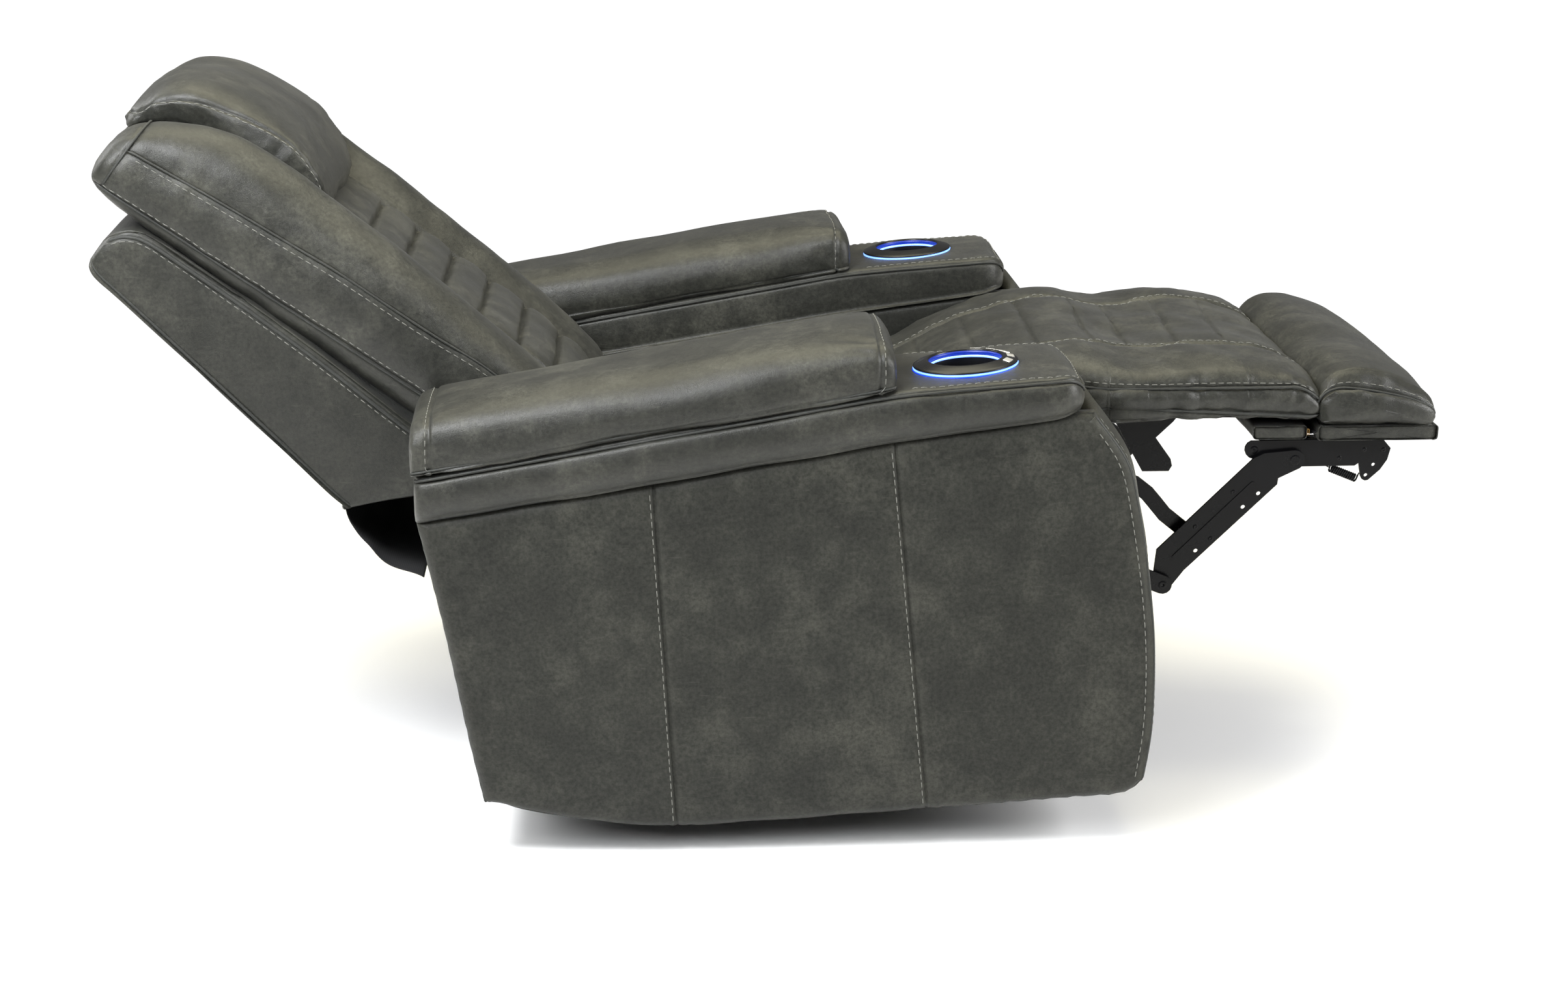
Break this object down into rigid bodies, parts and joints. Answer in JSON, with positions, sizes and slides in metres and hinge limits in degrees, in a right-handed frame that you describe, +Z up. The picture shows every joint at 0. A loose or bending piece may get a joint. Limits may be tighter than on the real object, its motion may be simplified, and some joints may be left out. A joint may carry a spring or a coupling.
{
  "type": "recliner armchair",
  "caption": "Power recliner armchair on a rocker base, fully reclined, with adjustable head pillow, folding leg rest on a steel linkage, lidded storage arms and lit cup holders",
  "frame": {"origin": "on the floor, under the middle of the whole chair's bounding box", "axes": "+X the way the sitter faces, +Y the sitter's left, +Z up"},
  "size_m": [1.6637, 0.98, 0.8994],
  "materials": {
    "leather": "semi-matt pull-up leather",
    "shell_leather": "semi-matt pull-up leather",
    "board_cloth": "plywood board covered in leather cloth",
    "wood": "bare plywood",
    "steel": "black powder coat",
    "black_plastic": "gloss black",
    "silver": "silver paint",
    "light": "frosted light ring",
    "cloth": "black dust cloth"
  },
  "bodies": {
    "base": {"base_runner_right": "wood", "base_runner_left": "wood", "base_rail_front": "wood", "base_rail_rear": "wood"},
    "chassis": {"rocker_right": "wood", "rocker_left": "wood", "mechanism_plate_right": "steel", "mechanism_plate_left": "steel", "cross_tube": "steel", "seat_deck": "wood", "seat_cushion": "leather", "recline_actuator": "steel", "power_box": "black_plastic", "charging_port": "black_plastic", "arm_outer_panel_right": "leather", "arm_outer_panel_left": "leather", "arm_inner_panel_right": "leather", "arm_inner_panel_left": "leather", "arm_front_panel_right": "leather", "arm_front_panel_left": "leather", "arm_roll_right": "leather", "arm_roll_left": "leather", "storage_well_right": "black_plastic", "storage_well_left": "black_plastic", "cup_holder_right": "black_plastic", "cup_holder_left": "black_plastic", "cup_light_right": "light", "cup_light_left": "light"},
    "backrest": {"back_frame": "wood", "outer_back_shell": "shell_leather", "rear_flap": "cloth", "back_centre_cushion": "leather", "back_bolster_right": "leather", "back_bolster_left": "leather"},
    "headrest": {"head_pillow": "leather", "headrest_board": "wood"},
    "armrest_lid_right": {"lid_board_right": "wood", "arm_pad_right": "leather"},
    "armrest_lid_left": {"lid_board_left": "wood", "arm_pad_left": "leather"},
    "leg_rest": {"chaise_pad": "leather", "footrest_cushion": "leather", "footrest_board": "board_cloth", "flipper_board": "board_cloth", "ottoman_bracket_right": "steel", "ottoman_bracket_left": "steel", "leg_hinge_plate_right": "steel", "leg_hinge_plate_left": "steel"},
    "front_links": {"front_link_right": "steel", "front_link_left": "steel"},
    "main_links": {"main_link_right": "steel", "main_link_left": "steel"},
    "cross_links": {"cross_link_right": "steel", "cross_link_left": "steel"},
    "recline_button_cap": {"recline_button": "silver"},
    "upright_button_cap": {"upright_button": "silver"},
    "headrest_up_button_cap": {"headrest_up_button": "silver"},
    "headrest_down_button_cap": {"headrest_down_button": "silver"},
    "light_button_cap": {"light_button": "silver"}
  },
  "joints": [
    {"name": "rock", "type": "hinge", "parent": "base", "child": "chassis", "pos_m": [0, 0, 1], "axis": [0, 1, 0], "range_deg": [-4, 4], "stiffness_Nm_per_rad": 900},
    {"name": "recline", "type": "hinge", "parent": "chassis", "child": "backrest", "pos_m": [-0.31, 0, 0.35], "axis": [0, 1, 0], "range_deg": [0, 40]},
    {"name": "headrest_tilt", "type": "hinge", "parent": "backrest", "child": "headrest", "pos_m": [-0.5762, 0, 0.786], "axis": [0, 1, 0], "range_deg": [0, 30]},
    {"name": "armrest_lid_right_hinge", "type": "hinge", "parent": "chassis", "child": "armrest_lid_right", "pos_m": [-0.154, -0.4897, 0.5255], "axis": [0.9857, 0, 0.1683], "range_deg": [0, 80]},
    {"name": "armrest_lid_left_hinge", "type": "hinge", "parent": "chassis", "child": "armrest_lid_left", "pos_m": [-0.154, 0.4897, 0.5255], "axis": [-0.9857, 0, -0.1683], "range_deg": [0, 80]},
    {"name": "leg_rest_fold", "type": "hinge", "parent": "chassis", "child": "leg_rest", "pos_m": [0.4, 0, 0.475], "axis": [0, 1, 0], "range_deg": [0, 90]},
    {"name": "front_link_swing", "type": "hinge", "parent": "chassis", "child": "front_links", "pos_m": [0.24, 0, 0.37], "axis": [0, 1, 0], "range_deg": [0, 89]},
    {"name": "main_link_swing", "type": "hinge", "parent": "front_links", "child": "main_links", "pos_m": [0.49, 0, 0.267], "axis": [0, 1, 0], "range_deg": [-72, 0]},
    {"name": "cross_link_swing", "type": "hinge", "parent": "chassis", "child": "cross_links", "pos_m": [0.302, 0, 0.369], "axis": [0, 1, 0], "range_deg": [0, 103]},
    {"name": "recline_button_press", "type": "slide", "parent": "chassis", "child": "recline_button_cap", "axis": [-0.1944, 0.1354, -0.9715], "range_m": [0, 0.001], "stiffness_N_per_m": 1500},
    {"name": "upright_button_press", "type": "slide", "parent": "chassis", "child": "upright_button_cap", "axis": [-0.2268, 0, -0.9739], "range_m": [0, 0.001], "stiffness_N_per_m": 1500},
    {"name": "headrest_up_button_press", "type": "slide", "parent": "chassis", "child": "headrest_up_button_cap", "axis": [-0.2011, -0.1213, -0.972], "range_m": [0, 0.001], "stiffness_N_per_m": 1500},
    {"name": "headrest_down_button_press", "type": "slide", "parent": "chassis", "child": "headrest_down_button_cap", "axis": [-0.1322, -0.2181, -0.9669], "range_m": [0, 0.001], "stiffness_N_per_m": 1500},
    {"name": "light_button_press", "type": "slide", "parent": "chassis", "child": "light_button_cap", "axis": [-0.0311, -0.2803, -0.9594], "range_m": [0, 0.001], "stiffness_N_per_m": 1500}
  ],
  "couplings": [
    {"joint": "front_link_swing", "follows": "leg_rest_fold", "ratio": 0.9748},
    {"joint": "main_link_swing", "follows": "leg_rest_fold", "ratio": -0.7831},
    {"joint": "cross_link_swing", "follows": "leg_rest_fold", "ratio": 1.1322}
  ]
}
